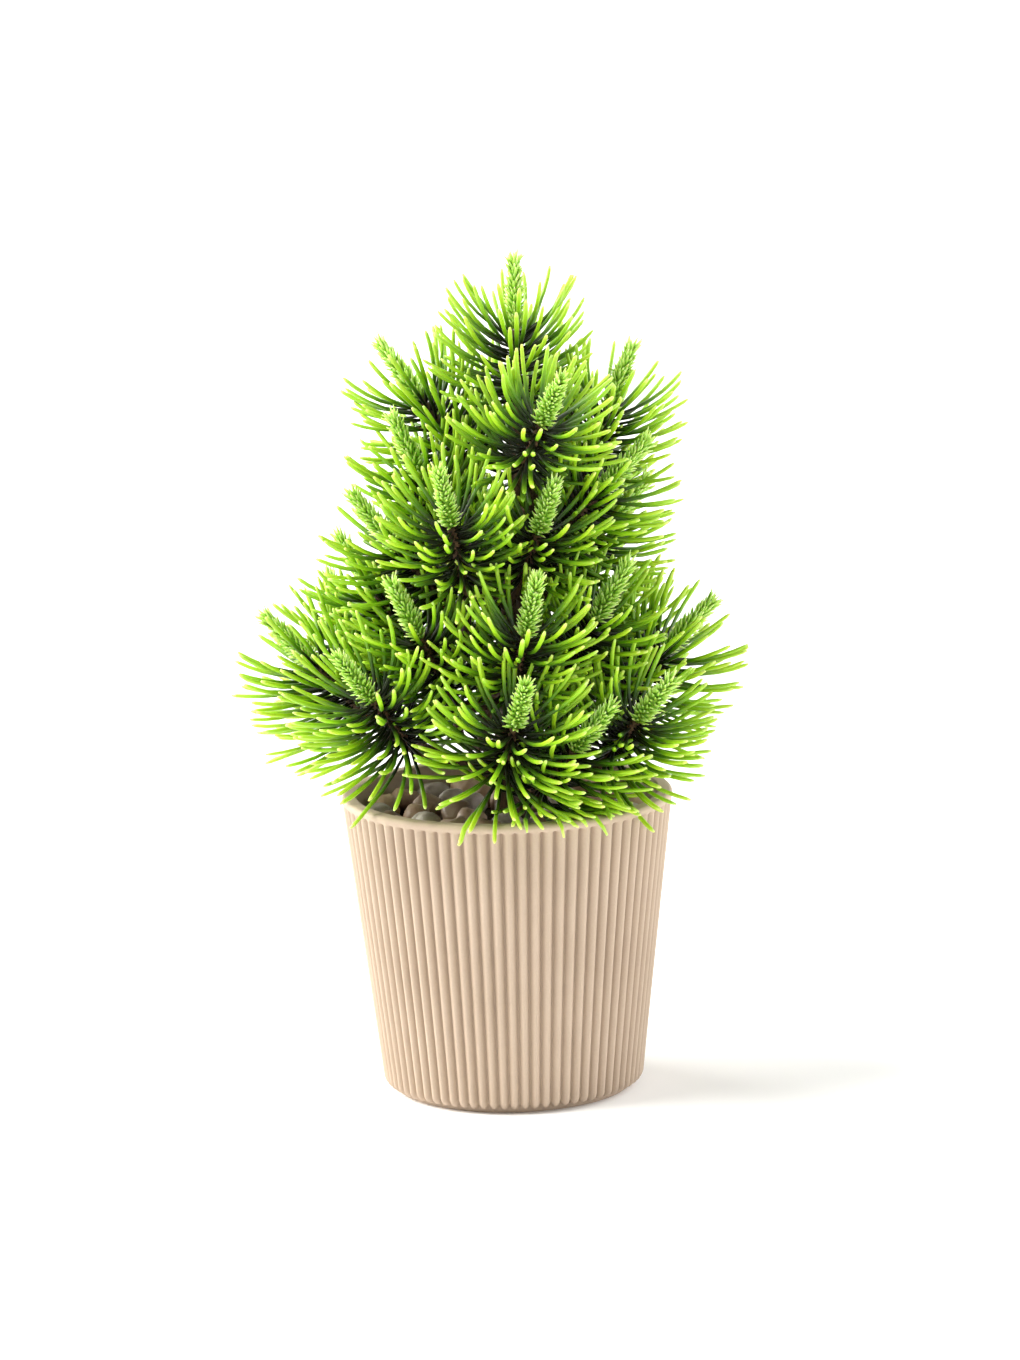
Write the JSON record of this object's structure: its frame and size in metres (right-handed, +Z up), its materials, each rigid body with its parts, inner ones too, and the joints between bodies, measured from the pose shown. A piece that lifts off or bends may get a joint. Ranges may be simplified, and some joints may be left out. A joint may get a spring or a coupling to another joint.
{
  "type": "artificial tabletop tree",
  "caption": "Small artificial pine in a ribbed tapered pot topped with pebbles: bendable wired branches carry whorls of curved needles and bristled shoot tips on a slim trunk",
  "frame": {"origin": "centre of the pot's flat underside, where it rests", "axes": "+Z up along the trunk, -Y towards the front, +X to the right seen from the front"},
  "size_m": [0.1729, 0.1657, 0.279],
  "materials": {
    "pot_glaze": "matt beige",
    "cement": "rough grey",
    "foam": "rigid foam, pale",
    "glue": "dark set glue",
    "bright_steel": "plain",
    "pebble_tan": "tumbled",
    "pebble_grey": "tumbled",
    "pebble_brown": "tumbled",
    "bark_plastic": "bark brown",
    "needle_plastic": "yellow-green, slightly glossy",
    "shoot_plastic": "pale green"
  },
  "bodies": {
    "base": {"pot": "pot_glaze", "cement_ballast": "cement", "foam_plug": "foam", "glue_bed": "glue", "anchor_washer": "bright_steel", "pebbles_tan": "pebble_tan", "pebbles_grey": "pebble_grey", "pebbles_brown": "pebble_brown", "trunk": "bark_plastic", "trunk_wire": "bright_steel", "leader_needles": "needle_plastic", "leader_candle": "shoot_plastic"},
    "branch_01": {"branch_01_stem": "bark_plastic", "branch_01_wire": "bright_steel", "branch_01_needles": "needle_plastic", "branch_01_candle": "shoot_plastic"},
    "branch_02": {"branch_02_stem": "bark_plastic", "branch_02_wire": "bright_steel", "branch_02_needles": "needle_plastic", "branch_02_candle": "shoot_plastic"},
    "branch_03": {"branch_03_stem": "bark_plastic", "branch_03_wire": "bright_steel", "branch_03_needles": "needle_plastic", "branch_03_candle": "shoot_plastic"},
    "branch_04": {"branch_04_stem": "bark_plastic", "branch_04_wire": "bright_steel", "branch_04_needles": "needle_plastic", "branch_04_candle": "shoot_plastic"},
    "branch_05": {"branch_05_stem": "bark_plastic", "branch_05_wire": "bright_steel", "branch_05_needles": "needle_plastic", "branch_05_candle": "shoot_plastic"},
    "branch_06": {"branch_06_stem": "bark_plastic", "branch_06_wire": "bright_steel", "branch_06_needles": "needle_plastic", "branch_06_candle": "shoot_plastic"},
    "branch_07": {"branch_07_stem": "bark_plastic", "branch_07_wire": "bright_steel", "branch_07_needles": "needle_plastic", "branch_07_candle": "shoot_plastic"},
    "branch_08": {"branch_08_stem": "bark_plastic", "branch_08_wire": "bright_steel", "branch_08_needles": "needle_plastic", "branch_08_candle": "shoot_plastic"},
    "branch_09": {"branch_09_stem": "bark_plastic", "branch_09_wire": "bright_steel", "branch_09_needles": "needle_plastic", "branch_09_candle": "shoot_plastic"},
    "branch_10": {"branch_10_stem": "bark_plastic", "branch_10_wire": "bright_steel", "branch_10_needles": "needle_plastic", "branch_10_candle": "shoot_plastic"},
    "branch_11": {"branch_11_stem": "bark_plastic", "branch_11_wire": "bright_steel", "branch_11_needles": "needle_plastic", "branch_11_candle": "shoot_plastic"},
    "branch_12": {"branch_12_stem": "bark_plastic", "branch_12_wire": "bright_steel", "branch_12_needles": "needle_plastic", "branch_12_candle": "shoot_plastic"}
  },
  "joints": [
    {"name": "branch_01_bend", "type": "hinge", "parent": "base", "child": "branch_01", "pos_m": [0.00043, -0.00798, 0.10591], "axis": [-0.9986, -0.0523, 0], "range_deg": [0, 6]},
    {"name": "branch_02_bend", "type": "hinge", "parent": "base", "child": "branch_02", "pos_m": [-0.00622, -0.00492, 0.11191], "axis": [-0.6157, 0.788, 0], "range_deg": [0, 6]},
    {"name": "branch_03_bend", "type": "hinge", "parent": "base", "child": "branch_03", "pos_m": [-0.00789, 0.00111, 0.10691], "axis": [0.1392, 0.9903, 0], "range_deg": [0, 6]},
    {"name": "branch_04_bend", "type": "hinge", "parent": "base", "child": "branch_04", "pos_m": [0.00636, -0.00492, 0.11091], "axis": [-0.6157, -0.788, 0], "range_deg": [0, 6]},
    {"name": "branch_05_bend", "type": "hinge", "parent": "base", "child": "branch_05", "pos_m": [0.00751, 0.00273, 0.10591], "axis": [0.342, -0.9397, 0], "range_deg": [0, 6]},
    {"name": "branch_06_bend", "type": "hinge", "parent": "base", "child": "branch_06", "pos_m": [0.00008, 0.00799, 0.11191], "axis": [1, 0, 0], "range_deg": [0, 6]},
    {"name": "branch_07_bend", "type": "hinge", "parent": "base", "child": "branch_07", "pos_m": [-0.00659, 0.00247, 0.13591], "axis": [0.309, 0.9511, 0], "range_deg": [-4, 5]},
    {"name": "branch_08_bend", "type": "hinge", "parent": "base", "child": "branch_08", "pos_m": [-0.00037, -0.00791, 0.13091], "axis": [-0.9903, 0.1392, 0], "range_deg": [-4, 5]},
    {"name": "branch_09_bend", "type": "hinge", "parent": "base", "child": "branch_09", "pos_m": [0.00893, 0.00423, 0.15291], "axis": [0.5299, -0.848, 0], "range_deg": [-4, 5]},
    {"name": "branch_10_bend", "type": "hinge", "parent": "base", "child": "branch_10", "pos_m": [0.00184, -0.00789, 0.16491], "axis": [-0.9877, 0.1564, 0], "range_deg": [-5, 5]},
    {"name": "branch_11_bend", "type": "hinge", "parent": "base", "child": "branch_11", "pos_m": [0.01143, -0.00513, 0.19491], "axis": [-0.6428, -0.766, 0], "range_deg": [-5, 5]},
    {"name": "branch_12_bend", "type": "hinge", "parent": "base", "child": "branch_12", "pos_m": [-0.00136, 0.00458, 0.19291], "axis": [0.5736, 0.8192, 0], "range_deg": [-5, 5]}
  ]
}
